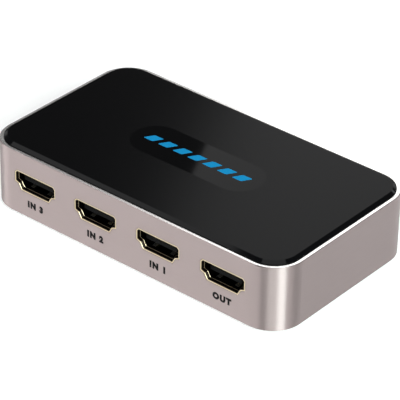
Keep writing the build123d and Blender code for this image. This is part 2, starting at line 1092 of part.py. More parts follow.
with BuildPart() as crystal:
    with BuildSketch(Plane.XY.offset(board_top)):
        with Locations((crystal_x, crystal_y)):
            SlotOverall(crystal_length, crystal_width)
    extrude(amount=crystal_height)
save(crystal, "crystal")

with BuildPart() as electrolytic_capacitors:
    can_places = [(can_x, can_y), (can_x + can_pitch, can_y)]
    with BuildSketch(Plane.XY.offset(board_top)):
        with Locations(*can_places):
            Rectangle(can_base_size, can_base_size)
    extrude(amount=can_base_height)
    with BuildSketch(Plane.XY.offset(board_top + can_base_height)):
        with Locations(*can_places):
            Circle(can_radius)
    extrude(amount=can_height)
save(electrolytic_capacitors, "electrolytic_capacitors")

with BuildPart() as ceramic_capacitors:
    block_places = [
        (port_x + offset_x, block_row_y)
        for port_x in port_xs
        for offset_x in centred(block_count, block_pitch)
    ]
    with BuildSketch(Plane.XY.offset(board_top)):
        with Locations(*block_places):
            Rectangle(block_width, block_length)
    extrude(amount=block_height)
save(ceramic_capacitors, "ceramic_capacitors")

with BuildPart() as resistors:
    with BuildSketch(Plane.XY.offset(board_top)):
        with Locations((resistor_x, resistor_y)):
            with GridLocations(
                resistor_pitch_x, resistor_pitch_y, resistor_column_count, resistor_row_count
            ):
                Rectangle(block_length, block_width)
    extrude(amount=resistor_height)
save(resistors, "resistors")


# Circuit board

slot_places = [
    (port_x + sign * leg_x, leg_y)
    for port_x in port_xs
    for sign in (-1, 1)
    for leg_y in leg_ys
]
power_slot_places = [(power_x + power_leg_depth, sign * power_leg_y) for sign in (-1, 1)]

with BuildPart() as circuit_board:
    with BuildSketch(Plane.XY.offset(board_bottom)) as board_outline:
        with Locations((-board_end, board_port_edge)):
            Rectangle(
                2 * board_end, board_key_edge - board_port_edge, align=(Align.MIN, Align.MIN)
            )
        fillet(board_outline.vertices(), inner_radius - board_gap_x)
        with Locations(*boss_places):
            screw_hole(Mode.SUBTRACT)
        with Locations(*slot_places):
            Rectangle(
                video_sheet + 2 * lead_hole_gap,
                video_leg_width + 2 * lead_hole_gap,
                mode=Mode.SUBTRACT,
            )
        with Locations(*power_slot_places):
            Rectangle(
                power_leg_width + 2 * lead_hole_gap,
                power_sheet + 2 * lead_hole_gap,
                mode=Mode.SUBTRACT,
            )
        with Locations(*terminal_places):
            Rectangle(
                switch_leg_width + 2 * lead_hole_gap,
                switch_leg_thickness + 2 * lead_hole_gap,
                mode=Mode.SUBTRACT,
            )
        with Locations(*indicator_leads):
            hole_size = indicator_lead_size + 2 * lead_hole_gap
            Rectangle(hole_size, hole_size, mode=Mode.SUBTRACT)
        with Locations(*receiver_places):
            hole_size = receiver_lead_size + 2 * lead_hole_gap
            Rectangle(hole_size, hole_size, mode=Mode.SUBTRACT)
    extrude(amount=board_thickness)
save(circuit_board, "circuit_board")
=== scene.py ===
"""Looks of a four-port video switch box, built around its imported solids.

A low aluminium ring carries a black acrylic lid. Four video sockets with gilt
mouths open on the long front side, a lamp row, a select key and a remote window
sit on the long back side, and a power socket is on the left end. Lengths on the
object and the camera's are in millimetres until mm() turns them to metres. The
table's and the lamps' are in metres.
"""

import json
import logging
import math
from dataclasses import dataclass
from enum import Enum

import bmesh
import bpy
from mathutils import Matrix, Vector

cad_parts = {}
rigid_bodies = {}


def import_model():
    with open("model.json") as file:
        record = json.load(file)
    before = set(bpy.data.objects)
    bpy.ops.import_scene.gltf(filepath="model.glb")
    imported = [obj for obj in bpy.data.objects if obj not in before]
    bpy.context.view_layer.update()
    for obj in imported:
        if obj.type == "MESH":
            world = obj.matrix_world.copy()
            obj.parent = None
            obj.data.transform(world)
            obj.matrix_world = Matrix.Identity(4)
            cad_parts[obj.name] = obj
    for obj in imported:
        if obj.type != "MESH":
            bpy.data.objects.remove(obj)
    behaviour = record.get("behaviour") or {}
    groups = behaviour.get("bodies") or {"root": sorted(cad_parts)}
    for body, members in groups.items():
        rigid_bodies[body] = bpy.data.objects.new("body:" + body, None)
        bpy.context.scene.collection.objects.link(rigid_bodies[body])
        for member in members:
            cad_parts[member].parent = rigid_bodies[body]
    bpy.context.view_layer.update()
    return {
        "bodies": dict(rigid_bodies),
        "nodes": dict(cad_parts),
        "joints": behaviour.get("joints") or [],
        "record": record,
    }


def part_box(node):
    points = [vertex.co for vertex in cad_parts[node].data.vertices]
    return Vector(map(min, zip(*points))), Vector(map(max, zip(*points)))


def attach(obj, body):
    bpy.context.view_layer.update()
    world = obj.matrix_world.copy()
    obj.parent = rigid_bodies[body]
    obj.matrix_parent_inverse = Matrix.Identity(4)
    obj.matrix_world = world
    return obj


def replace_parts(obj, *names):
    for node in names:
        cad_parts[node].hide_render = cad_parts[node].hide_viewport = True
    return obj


Tree = bpy.types.NodeTree
Node = bpy.types.Node
Socket = bpy.types.NodeSocket

LOG = logging.getLogger("switch_box")
# The fixed body, which every new piece rides on.
BOX = "box"
WHITE = (1.0, 1.0, 1.0, 1.0)
BLACK = (0.0, 0.0, 0.0, 1.0)
# A normal runs along an axis if its share of it is above ALONG, across it if below ACROSS.
ALONG = 0.95
ACROSS = 0.1
# Noise mostly stays between LOW and HIGH. DETAIL counts its layers of finer noise.
NOISE_LOW = 0.3
NOISE_HIGH = 0.7
MOTTLE_DETAIL = 3.0
GRAIN_DETAIL = 4.0
# How far a finish's relief tilts its normals, from 0 to 1.
RELIEF = 0.6
# A quarter of a full turn, as the shader counts it.
QUARTER_TURN = 0.25
# The power that gives a square metre of lamp the radiance of plain white.
POWER_OF_WHITE = 4.0
# The corners of a four-sided shape in turn, each with the angle where its rounding starts.
CORNERS = ((1, 1, 0), (-1, 1, 90), (-1, -1, 180), (1, -1, 270))


class Grain(Enum):
    """How the fine texture of a surface runs."""

    EVEN = "even"
    ALONG_RING = "along the ring"
    ALONG_X = "along x"
    ALONG_Z = "along z"


def mm(length: float) -> float:
    """Turns millimetres to metres."""
    return length / 1000.0


def in_mm(length: float) -> float:
    """Turns metres to millimetres."""
    return length * 1000.0


def repeats(size: float) -> float:
    """Turns a pattern's size in millimetres to the times that it repeats in a metre."""
    return 1000.0 / size


def towards(azimuth: float, elevation: float) -> Vector:
    """Works out a direction, seen from the object.

    Args:
        azimuth: Degrees from the front side towards the right end.
        elevation: Degrees above the table.

    Returns:
        The unit vector that points there.
    """
    around, up = math.radians(azimuth), math.radians(elevation)
    flat = math.cos(up)
    return Vector((math.sin(around) * flat, -math.cos(around) * flat, math.sin(up)))


def linear(code: str) -> tuple[float, float, float, float]:
    """Turns an sRGB hex colour to linear light.

    Args:
        code: Six hex digits after a hash sign.

    Returns:
        Red, green, blue and an alpha of 1.
    """
    parts = [int(code[i : i + 2], 16) / 255.0 for i in (1, 3, 5)]
    lit = [p / 12.92 if p <= 0.04045 else ((p + 0.055) / 1.055) ** 2.4 for p in parts]
    return (lit[0], lit[1], lit[2], 1.0)


def add_node(
    tree: Tree, kind: str, sockets: dict | None = None, settings: dict | None = None
) -> Node:
    """Adds one node and fills its sockets.

    Args:
        tree: The node tree that gets the node.
        kind: The node's Blender type.
        sockets: Socket name or number to a constant, or to another node's output.
        settings: Options of the node itself.

    Returns:
        The new node.
    """
    node = tree.nodes.new(kind)
    for key, value in (settings or {}).items():
        setattr(node, key, value)
    for key, value in (sockets or {}).items():
        if isinstance(value, Socket):
            tree.links.new(value, node.inputs[key])
        else:
            node.inputs[key].default_value = value
    return node


# How fast each grain changes along x, y and z. It is slow along its run.
RUN = 0.04
GRAIN_STRETCH = {
    Grain.EVEN: (1.0, 1.0, 1.0),
    Grain.ALONG_RING: (RUN, RUN, 1.0),
    Grain.ALONG_X: (RUN, 1.0, 1.0),
    Grain.ALONG_Z: (1.0, 1.0, RUN),
}


@dataclass(frozen=True)
class Finish:
    """One real material: its colour and gloss, and the texture its making leaves.

    The mottle is a slow change of shade over the part, and the grain a fine
    relief that also breaks up the gloss.
    """

    name: str
    slot: str
    colour: str
    roughness: float
    metallic: float = 0.0
    ior: float = 1.5
    mottle: float = 0.04
    mottle_size: float = 9.0
    grain: Grain = Grain.EVEN
    grain_size: float = 0.4
    grain_height: float = 0.004
    gloss_spread: float = 0.06
    coat: float = 0.0
    coat_roughness: float = 0.05
    anisotropy: float = 0.0
    transmission: float = 0.0
    specular: float = 0.5

    def coordinates(self, tree: Tree) -> Socket:
        """Returns the place on the part in metres, which moves with the part."""
        return add_node(tree, "ShaderNodeTexCoord").outputs["Object"]

    def shade(self, tree: Tree, place: Socket) -> Socket:
        """Varies the base colour slowly over the part.

        Args:
            tree: The material's node tree.
            place: The place on the part.

        Returns:
            The colour for the shader.
        """
        cloud = add_node(
            tree,
            "ShaderNodeTexNoise",
            {"Vector": place, "Scale": repeats(self.mottle_size), "Detail": MOTTLE_DETAIL},
        )
        ramp = add_node(tree, "ShaderNodeValToRGB", {"Fac": cloud.outputs["Fac"]})
        dark_end, light_end = ramp.color_ramp.elements
        red, green, blue, _ = linear(self.colour)
        for end, spot, level in (
            (dark_end, NOISE_LOW, 1.0 - self.mottle),
            (light_end, NOISE_HIGH, 1.0 + self.mottle),
        ):
            end.position = spot
            end.color = (red * level, green * level, blue * level, 1.0)
        return ramp.outputs["Color"]

    def fine(self, tree: Tree, place: Socket) -> Socket:
        """Draws the grain, stretched the way it runs.

        Args:
            tree: The material's node tree.
            place: The place on the part.

        Returns:
            The grain as a value from 0 to 1.
        """
        stretched = add_node(
            tree, "ShaderNodeMapping", {"Vector": place, "Scale": GRAIN_STRETCH[self.grain]}
        )
        noise = {
            "Vector": stretched.outputs["Vector"],
            "Scale": repeats(self.grain_size),
            "Detail": GRAIN_DETAIL,
        }
        return add_node(tree, "ShaderNodeTexNoise", noise).outputs["Fac"]

    def gloss(self, tree: Tree, fine: Socket) -> Socket:
        """Makes the roughness a little higher where the grain stands up.

        Args:
            tree: The material's node tree.
            fine: The grain.

        Returns:
            The roughness for the shader.
        """
        reach = {
            "Value": fine,
            "From Min": NOISE_LOW,
            "From Max": NOISE_HIGH,
            "To Min": max(0.0, self.roughness - self.gloss_spread),
            "To Max": min(1.0, self.roughness + self.gloss_spread),
        }
        return add_node(tree, "ShaderNodeMapRange", reach).outputs["Result"]

    def relief(self, tree: Tree, fine: Socket) -> Socket:
        """Returns the normal with the grain's height on it."""
        bump = {"Height": fine, "Strength": RELIEF, "Distance": mm(self.grain_height)}
        return add_node(tree, "ShaderNodeBump", bump).outputs["Normal"]

    def extra(self, tree: Tree, shader: Node, place: Socket) -> None:
        """Adds what only this finish has. Plain finishes have nothing more."""

    def material(self) -> bpy.types.Material:
        """Builds the material once and returns it on every later call.

        Returns:
            The node material of this finish.
        """
        known = bpy.data.materials.get(self.name)
        if known is not None:
            return known
        made = bpy.data.materials.new(self.name)
        made.use_nodes = True
        tree = made.node_tree
        tree.nodes.clear()
        place = self.coordinates(tree)
        fine = self.fine(tree, place)
        shader = add_node(
            tree,
            "ShaderNodeBsdfPrincipled",
            {
                "Base Color": self.shade(tree, place),
                "Roughness": self.gloss(tree, fine),
                "Metallic": self.metallic,
                "IOR": self.ior,
                "Normal": self.relief(tree, fine),
                "Coat Weight": self.coat,
                "Coat Roughness": self.coat_roughness,
                "Anisotropic": self.anisotropy,
                "Transmission Weight": self.transmission,
                "Specular IOR Level": self.specular,
            },
        )
        self.extra(tree, shader, place)
        add_node(tree, "ShaderNodeOutputMaterial", {"Surface": shader.outputs["BSDF"]})
        return made


@dataclass(frozen=True)
class AnodisedRing(Finish):
    """Aluminium brushed along the ring, then dyed and anodised."""

    def extra(self, tree: Tree, shader: Node, place: Socket) -> None:
        """Spreads the gloss across the brush lines, which run round the ring.

        Args:
            tree: The material's node tree.
            shader: The material's shader.
            place: The place on the part.
        """
        shader.inputs["Anisotropic Rotation"].default_value = QUARTER_TURN
        round_ring = add_node(
            tree, "ShaderNodeTangent", settings={"direction_type": "RADIAL", "axis": "Z"}
        )
        tree.links.new(round_ring.outputs["Tangent"], shader.inputs["Tangent"])


@dataclass(frozen=True)
class HardCoatedAcrylic(Finish):
    """Black acrylic under a hard coat, which keeps glare down at low angles.

    The low angles are a range of Layer Weight's Facing, over which the strength
    of the reflections goes down to the low one.
    """

    low_angle: tuple = (0.52, 0.72)
    low_specular: float = 0.001

    def extra(self, tree: Tree, shader: Node, place: Socket) -> None:
        """Lowers the strength of the reflections as the line of sight gets flatter.

        Args:
            tree: The material's node tree.
            shader: The material's shader.
            place: The place on the part.
        """
        facing = add_node(tree, "ShaderNodeLayerWeight", {"Blend": 0.5}).outputs["Facing"]
        start, end = self.low_angle
        held = add_node(
            tree,
            "ShaderNodeMapRange",
            {
                "Value": facing,
                "From Min": start,
                "From Max": end,
                "To Min": self.specular,
                "To Max": self.low_specular,
            },
        )
        tree.links.new(held.outputs["Result"], shader.inputs["Specular IOR Level"])


@dataclass(frozen=True)
class LidAcrylic(HardCoatedAcrylic):
    """The same sheet with a polished, round-ended zone in its middle."""

    zone_half_length: float = 22.8
    zone_half_height: float = 7.75
    zone_edge: float = 0.25
    zone_roughness: float = 0.035

    def polished(self, tree: Tree) -> Socket:
        """Marks the polished zone by the distance from the straight line in its middle.

        Args:
            tree: The material's node tree.

        Returns:
            A value of 1 in the zone and 0 outside it.
        """
        axes = add_node(tree, "ShaderNodeSeparateXYZ", {"Vector": self.coordinates(tree)})
        along = add_node(
            tree, "ShaderNodeMath", {0: axes.outputs["X"]}, {"operation": "ABSOLUTE"}
        )
        straight = mm(self.zone_half_length - self.zone_half_height)
        past = add_node(
            tree,
            "ShaderNodeMath",
            {0: along.outputs["Value"], 1: straight},
            {"operation": "SUBTRACT"},
        )
        beyond = add_node(
            tree, "ShaderNodeMath", {0: past.outputs["Value"], 1: 0.0}, {"operation": "MAXIMUM"}
        )
        spot = add_node(
            tree, "ShaderNodeCombineXYZ", {"X": beyond.outputs["Value"], "Y": axes.outputs["Y"]}
        )
        reach = add_node(
            tree, "ShaderNodeVectorMath", {0: spot.outputs["Vector"]}, {"operation": "LENGTH"}
        )
        inside = {
            "Value": reach.outputs["Value"],
            "From Min": mm(self.zone_half_height - self.zone_edge),
            "From Max": mm(self.zone_half_height),
            "To Min": 1.0,
            "To Max": 0.0,
        }
        return add_node(tree, "ShaderNodeMapRange", inside).outputs["Result"]

    def gloss(self, tree: Tree, fine: Socket) -> Socket:
        """Makes the sheet satin and its zone polished.

        Args:
            tree: The material's node tree.
            fine: The grain.

        Returns:
            The roughness for the shader.
        """
        satin = Finish.gloss(self, tree, fine)
        mixed = add_node(
            tree,
            "ShaderNodeMix",
            {0: self.polished(tree), 2: satin, 3: self.zone_roughness},
            {"data_type": "FLOAT"},
        )
        return mixed.outputs[0]


@dataclass(frozen=True)
class GiltMouth(Finish):
    """Stamped sheet, gilt at the mouth of a socket, with shade painted as a dark colour further in.

    The bend where the flared lip meets the tube is left gilt in a thin band among the painted shade,
    so that it shows as a highlight line. The rim and glint bands are depths behind the mouth, and the
    edge is how softly they end.
    """

    mouth_y: float = -29.95
    reach: float = 3.0
    # The dark colour painted on the inside of the shell as shade.
    inner_colour: str = "#120E0B"
    gilt_bands: tuple = ((0.0, 0.04), (0.87, 0.93))
    edge: float = 0.04

    def shade(self, tree: Tree, place: Socket) -> Socket:
        """Colours the rim and glint bands gold, and paints shade as a dark colour between and behind
        them.

        Args:
            tree: The material's node tree.
            place: The place on the part.

        Returns:
            The colour for the shader.
        """
        gilt = Finish.shade(self, tree, place)
        axes = add_node(tree, "ShaderNodeSeparateXYZ", {"Vector": place})
        depth = add_node(
            tree,
            "ShaderNodeMapRange",
            {
                "Value": axes.outputs["Y"],
                "From Min": mm(self.mouth_y - self.edge),
                "From Max": mm(self.mouth_y - self.edge + self.reach),
            },
        )
        # 1 where the sheet shows gilt, 0 where shade is painted on as a dark colour.
        bands = add_node(tree, "ShaderNodeValToRGB", {"Fac": depth.outputs["Result"]})
        stops = bands.color_ramp.elements
        stops.remove(stops[1])
        stops[0].position = 0.0
        stops[0].color = WHITE
        for start, end in self.gilt_bands:
            rise = ((start, 0.0), (start + self.edge, 1.0)) if start > 0.0 else ()
            fall = ((end + self.edge, 1.0), (end + 2 * self.edge, 0.0))
            for spot, level in rise + fall:
                stops.new(spot / self.reach).color = (level, level, level, 1.0)
        mixed = add_node(
            tree,
            "ShaderNodeMix",
            {0: bands.outputs["Color"], 6: linear(self.inner_colour), 7: gilt},
            {"data_type": "RGBA"},
        )
        return mixed.outputs[2]


@dataclass(frozen=True)
class BoardLacquer(Finish):
    """Green lacquer over copper tracks on a glass-fibre board.

    The width and length of a track are in steps of the pitch between two tracks.
    """

    track_pitch: float = 1.3
    track_width: float = 0.09
    track_length: float = 7.0
    track_colour: str = "#2C7A3C"

    def shade(self, tree: Tree, place: Socket) -> Socket:
        """Lightens the lacquer's green where copper lies under it.

        Args:
            tree: The material's node tree.
            place: The place on the part.

        Returns:
            The colour for the shader.
        """
        ground = Finish.shade(self, tree, place)
        maze = add_node(
            tree,
            "ShaderNodeTexBrick",
            {
                "Vector": place,
                "Scale": repeats(self.track_pitch),
                "Mortar Size": self.track_width,
                "Color1": BLACK,
                "Color2": BLACK,
                "Mortar": WHITE,
                "Brick Width": self.track_length,
                "Row Height": 1.0,
            },
        )
        mixed = add_node(
            tree,
            "ShaderNodeMix",
            {0: maze.outputs["Color"], 6: ground, 7: linear(self.track_colour)},
            {"data_type": "RGBA"},
        )
        return mixed.outputs[2]


@dataclass(frozen=True)
class LitEpoxy(Finish):
    """Diffusing epoxy of an indicator, lit from inside or dark.

    The scatter is how far red, green and blue light go in the milky body.
    """

    glow: float = 0.0
    glow_colour: str = "#3F8CFF"
    milkiness: float = 0.5
    scatter: tuple = (0.6, 0.6, 0.8)

    def extra(self, tree: Tree, shader: Node, place: Socket) -> None:
        """Adds the light that leaves a lit indicator and the depth of a milky body.

        Args:
            tree: The material's node tree.
            shader: The material's shader.
            place: The place on the part.
        """
        shader.inputs["Emission Color"].default_value = linear(self.glow_colour)
        shader.inputs["Emission Strength"].default_value = self.glow
        shader.inputs["Subsurface Weight"].default_value = self.milkiness
        shader.inputs["Subsurface Radius"].default_value = [mm(way) for way in self.scatter]
        shader.inputs["Subsurface Scale"].default_value = 1.0


# The real grains and lines of these finishes are mostly under 0.1 mm, too fine to
# show in the picture, so grain_size draws them at 0.15 to 0.8 mm.

# Aluminium, brushed fine along the ring and anodised with a warm grey dye: satin,
# with reflections drawn out up and down so that the corners show upright bands.
# The real lines are about 0.05 mm apart, drawn here at 0.3 mm so that they show.
ANODISED = AnodisedRing(
    "brushed_anodised_aluminium",
    "anodised_aluminium",
    "#9B8E8D",
    0.42,
    metallic=1.0,
    mottle=0.012,
    mottle_size=14.0,
    grain=Grain.ALONG_RING,
    grain_size=0.3,
    grain_height=0.0012,
    gloss_spread=0.02,
    anisotropy=1.0,
)
# Acrylic sheet, cast and dyed black, hard coated: deep black with soft reflections,
# and a mirror in the polished zone.
LID_ACRYLIC = LidAcrylic(
    "satin_cast_acrylic",
    "black_acrylic",
    "#040405",
    0.15,
    ior=1.49,
    specular=0.056,
    mottle=0.0,
    grain_size=0.5,
    grain_height=0.0004,
    gloss_spread=0.01,
)
# The same sheet where the cutter ran along its bevel: black and glossy enough to
# show the lamps with sharp edges.
LID_BEVEL = HardCoatedAcrylic(
    "milled_acrylic_bevel",
    "black_acrylic",
    "#040405",
    0.05,
    ior=1.49,
    specular=0.133,
    mottle=0.0,
    grain_height=0.0002,
    gloss_spread=0.01,
)
# The same sheet at its sawn, upright edge: black and quite matt.
LID_EDGE = HardCoatedAcrylic(
    "sawn_acrylic_edge",
    "black_acrylic",
    "#030303",
    0.7,
    ior=1.49,
    specular=0.04,
    mottle=0.0,
)
# The ring's top edge, cut with a diamond after anodising: bare bright metal.
CUT_RIM = Finish(
    "diamond_cut_aluminium",
    "anodised_aluminium",
    "#F4F2F0",
    0.22,
    metallic=1.0,
    mottle=0.01,
    grain=Grain.ALONG_X,
    grain_size=0.3,
    grain_height=0.0005,
)
# Acrylic foam film, double-sided and pressed: dull cream.
FILM = Finish("pressed_adhesive_film", "adhesive_film", "#D6D0BE", 0.8, grain_size=0.6)
# ABS, moulded in a spark-eroded tool: dull black with a fine leathery grain, drawn
# at 0.5 mm where the real one is about 0.2 mm.
BLACK_ABS = Finish(
    "moulded_abs_spark_grain",
    "black_moulding",
    "#17171A",
    0.55,
    ior=1.54,
    grain_size=0.5,
    grain_height=0.02,
)
# Steel, turned into screws and given a black oxide: dark satin with a blue tinge.
BLACK_STEEL = Finish(
    "black_oxide_steel",
    "black_screw",
    "#2B2C30",
    0.38,
    metallic=1.0,
    grain_size=0.25,
    grain_height=0.004,
)
# Rubber, die-cut into feet: matt, in patches slightly lighter and darker.
FOOT_RUBBER = Finish(
    "die_cut_rubber",
    "foot_rubber",
    "#1D1D1E",
    0.86,
    ior=1.52,
    mottle=0.15,
    mottle_size=3.0,
    grain_size=0.35,
    grain_height=0.03,
)
# Solder lacquer, screen coated: glassy green with the tracks just showing.
BOARD = BoardLacquer(
    "green_solder_lacquer",
    "solder_mask",
    "#0F5A26",
    0.3,
    grain_size=0.8,
    grain_height=0.003,
    coat=0.4,
)
# Brass sheet, stamped, nickelled and gilt at the mouth: a pale gold line round an opening whose inside
# has shade painted on as a dark colour, with a gilt band at the bend left to show a highlight line.
GILT_SHELL_PAINTED_SHADE = GiltMouth(
    "gilt_brass_painted_shade",
    "gold_shell",
    "#CBB99C",
    0.34,
    metallic=1.0,
    mottle=0.06,
    mottle_size=2.0,
    grain=Grain.ALONG_X,
    grain_size=0.2,
    grain_height=0.002,
)
# Bronze, stamped into contacts and gilt: warm gold, glossier than the shells.
GILT_CONTACT = Finish(
    "gilt_stamped_bronze",
    "gold_contact",
    "#E6C377",
    0.24,
    metallic=1.0,
    grain_size=0.2,
    grain_height=0.002,
)
# Brass sheet, stamped and nickelled: silver, very slightly yellow.
NICKEL = Finish(
    "nickelled_stamped_brass",
    "nickel_shell",
    "#C9C6BE",
    0.28,
    metallic=1.0,
    grain=Grain.ALONG_Z,
    grain_size=0.2,
    grain_height=0.002,
)
# Nylon with glass fibre, moulded: dull black with a dry skin.
SOCKET_NYLON = Finish(
    "glass_filled_nylon",
    "socket_plastic",
    "#040404",
    0.5,
    ior=1.53,
    specular=0.06,
    grain_size=0.3,
)
# ABS, moulded in a polished tool for the key: satin black.
KEY_ABS = Finish(
    "moulded_abs_satin",
    "button_plastic",
    "#1B1B1D",
    0.34,
    ior=1.54,
    grain_size=0.5,
    grain_height=0.003,
)
# Nylon, moulded for the small push switch: dull black.
SWITCH_NYLON = Finish(
    "moulded_nylon", "switch_nylon", "#161616", 0.5, ior=1.53, grain_size=0.3
)
# Copper wire, dipped in tin: pale soft metal.
TINNED = Finish(
    "tin_dipped_copper",
    "tinned_lead",
    "#D8D7D2",
    0.32,
    metallic=1.0,
    grain_size=0.25,
    grain_height=0.003,
)
# Epoxy, cast milky for the lenses: the unlit ones look pale and cloudy.
EPOXY = LitEpoxy(
    "cast_milky_epoxy",
    "indicator_epoxy",
    "#C9D3DA",
    0.22,
    ior=1.55,
    transmission=0.25,
    grain_height=0.001,
)
# The lens of the input in use: the same epoxy, lit blue from inside.
EPOXY_LIT = LitEpoxy(
    "cast_milky_epoxy_lit",
    "indicator_epoxy",
    "#7FB2FF",
    0.22,
    ior=1.55,
    grain_height=0.001,
    glow=1.2,
)
# Polycarbonate, moulded and dyed so that only infrared passes: glossy near-black plum.
SMOKED = Finish(
    "smoked_polycarbonate",
    "smoked_window",
    "#140508",
    0.07,
    ior=1.585,
    mottle=0.0,
    grain_height=0.0005,
    coat=0.3,
)
# Epoxy, transfer moulded round the chips: charcoal, matt.
CHIP_EPOXY = Finish(
    "transfer_moulded_epoxy",
    "chip_epoxy",
    "#1A1B1C",
    0.62,
    ior=1.55,
    grain_size=0.25,
    grain_height=0.01,
)
# Aluminium, deep drawn into cans: bright with fine upright lines.
DRAWN_CAN = Finish(
    "deep_drawn_aluminium",
    "can_aluminium",
    "#CFCFD0",
    0.3,
    metallic=1.0,
    grain=Grain.ALONG_Z,
    grain_size=0.15,
    grain_height=0.003,
)
# Barium titanate, fired in blocks: tan, slightly glossy.
FIRED_CERAMIC = Finish(
    "fired_ceramic", "ceramic_body", "#A98458", 0.42, ior=1.6, grain_size=0.3
)
# Alumina, fired under a dark glaze: black glass.
GLAZE = Finish("fired_black_glaze", "resistor_glaze", "#101012", 0.18, ior=1.52)
# Ink, black and pad printed: dull and dry, with no relief to speak of.
LEGEND_INK = Finish(
    "pad_printed_ink_black", "anodised_aluminium", "#060404", 0.7, specular=0.1, grain_height=0.001
)
# Ink, sky blue and screen printed: flat, even and nearly without gloss.
ACCENT_INK = Finish(
    "screen_printed_ink_blue",
    "black_acrylic",
    "#0F7FB3",
    0.6,
    specular=0.04,
    grain_height=0.0005,
    mottle=0.01,
)


def dress(frame: dict, finish: Finish, *names: str) -> None:
    """Gives shown solids of the frame their material.

    Args:
        finish: The finish to put on them.
        names: The nodes that get it.
    """
    for name in names:
        mesh = frame["nodes"][name].data
        mesh.materials.clear()
        mesh.materials.append(finish.material())
        LOG.info("dressed %s in %s", name, finish.name)


def new_piece(name: str, mesh: bpy.types.Mesh, finish: Finish) -> bpy.types.Object:
    """Makes a piece of the object from a finished mesh, and lets it ride.

    Args:
        name: The piece's name.
        mesh: Its mesh, in the row frame.
        finish: Its finish.

    Returns:
        The new object.
    """
    piece = bpy.data.objects.new(name, mesh)
    bpy.context.scene.collection.objects.link(piece)
    mesh.materials.clear()
    mesh.materials.append(finish.material())
    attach(piece, BOX)
    LOG.info("made %s in %s", name, finish.name)
    return piece


def thicken(work: bmesh.types.BMesh, faces: list, way: tuple[float, float, float]) -> None:
    """Gives flat faces a thickness.

    Args:
        work: The mesh that they are in.
        faces: The faces.
        way: How far their second side lies from them, in metres.
    """
    grown = bmesh.ops.extrude_face_region(work, geom=faces)
    moved = [part for part in grown["geom"] if isinstance(part, bmesh.types.BMVert)]
    bmesh.ops.translate(work, verts=moved, vec=way)


def close_work(work: bmesh.types.BMesh, mesh: bpy.types.Mesh) -> bpy.types.Mesh:
    """Turns all faces outwards and ends the work on a mesh.

    Args:
        work: The finished shape.
        mesh: The mesh that it is written to.

    Returns:
        The same mesh.
    """
    bmesh.ops.recalc_face_normals(work, faces=work.faces)
    work.to_mesh(mesh)
    work.free()
    return mesh


@dataclass
class Lettering:
    """One printed word or number on an upright face, as a film of ink.

    The ink stands as far out of the face as it reaches into it.
    """

    name: str
    text: str
    centre_x: float
    base_z: float
    cap_height: float
    face_y: float
    faces_back: bool = False
    ink: float = 0.004
    weight: float = 0.085
    spacing: float = 1.3
    curve_steps: int = 4
    weld: float = 0.002

    def outline(self) -> bpy.types.Mesh:
        """Draws the letters flat and scales them to their cap height.

        Returns:
            A mesh in the xy plane, in millimetres, centred on x, standing on y 0.
        """
        curve = bpy.data.curves.new(self.name + "_outline", "FONT")
        curve.body = self.text
        curve.align_x = "CENTER"
        curve.space_character = self.spacing
        curve.offset = self.weight
        curve.resolution_u = self.curve_steps
        drawn = bpy.data.objects.new(self.name + "_outline", curve)
        bpy.context.scene.collection.objects.link(drawn)
        mesh = bpy.data.meshes.new_from_object(drawn)
        bpy.data.objects.remove(drawn)
        across = [v.co.x for v in mesh.vertices]
        upwards = [v.co.y for v in mesh.vertices]
        low, high = min(upwards), max(upwards)
        middle = (min(across) + max(across)) / 2
        mesh.transform(Matrix.Translation((-middle, -low, 0.0)))
        mesh.transform(Matrix.Scale(self.cap_height / (high - low), 4))
        return mesh

    def build(self) -> bpy.types.Object:
        """Stands the letters on their face and gives the ink its thickness.

        Returns:
            The ink's object.
        """
        mesh = self.outline()
        side = -1.0 if self.faces_back else 1.0
        stand = Matrix(((side, 0, 0, 0), (0, 0, -side, 0), (0, 1, 0, 0), (0, 0, 0, 1)))
        mesh.transform(stand)
        mesh.transform(Matrix.Translation((self.centre_x, self.face_y - side * self.ink, self.base_z)))
        mesh.transform(Matrix.Scale(mm(1.0), 4))
        work = bmesh.new()
        work.from_mesh(mesh)
        bmesh.ops.remove_doubles(work, verts=work.verts, dist=mm(self.weld))
        thicken(work, work.faces[:], (0.0, mm(side * self.ink * 2), 0.0))
        return new_piece(self.name, close_work(work, mesh), LEGEND_INK)


@dataclass
class CaseRing:
    """The aluminium ring with the words under its sockets and the lamps' numbers."""

    words: tuple = ("IN 3", "IN 2", "IN 1", "OUT")
    socket_reach: float = 34.35
    socket_step: float = 22.9
    legend_base_z: float = 4.35
    legend_height: float = 2.25
    numbers: tuple = (1, 2, 3)
    number_base_z: float = 6.6
    number_height: float = 1.8
    rim_break: float = 0.1

    def show_rim(self, ring: bpy.types.Object, top: float) -> None:
        """Gives the ring's top edge its cut, brighter metal.

        Args:
            ring: The ring's object.
            top: The height of its top edge.
        """
        ring.data.materials.append(CUT_RIM.material())
        for face in ring.data.polygons:
            level = face.normal.z > ALONG and face.center.z > top - mm(self.rim_break)
            face.material_index = 1 if level else 0

    def build(self, frame: dict) -> None:
        """Dresses the ring and prints its words and numbers.
        """
        dress(frame, ANODISED, "housing_ring")
        low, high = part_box("housing_ring")
        self.show_rim(frame["nodes"]["housing_ring"], high.z)
        for place, word in enumerate(self.words):
            Lettering(
                f"legend_{word.lower().replace(' ', '_')}",
                word,
                place * self.socket_step - self.socket_reach,
                self.legend_base_z,
                self.legend_height,
                in_mm(low.y),
            ).build()
        for number in self.numbers:
            lens_low, lens_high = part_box(f"indicator_{number}_lens")
            Lettering(
                f"lamp_number_{number}",
                str(number),
                in_mm((lens_low.x + lens_high.x) / 2),
                self.number_base_z,
                self.number_height,
                in_mm(high.y),
                faces_back=True,
            ).build()


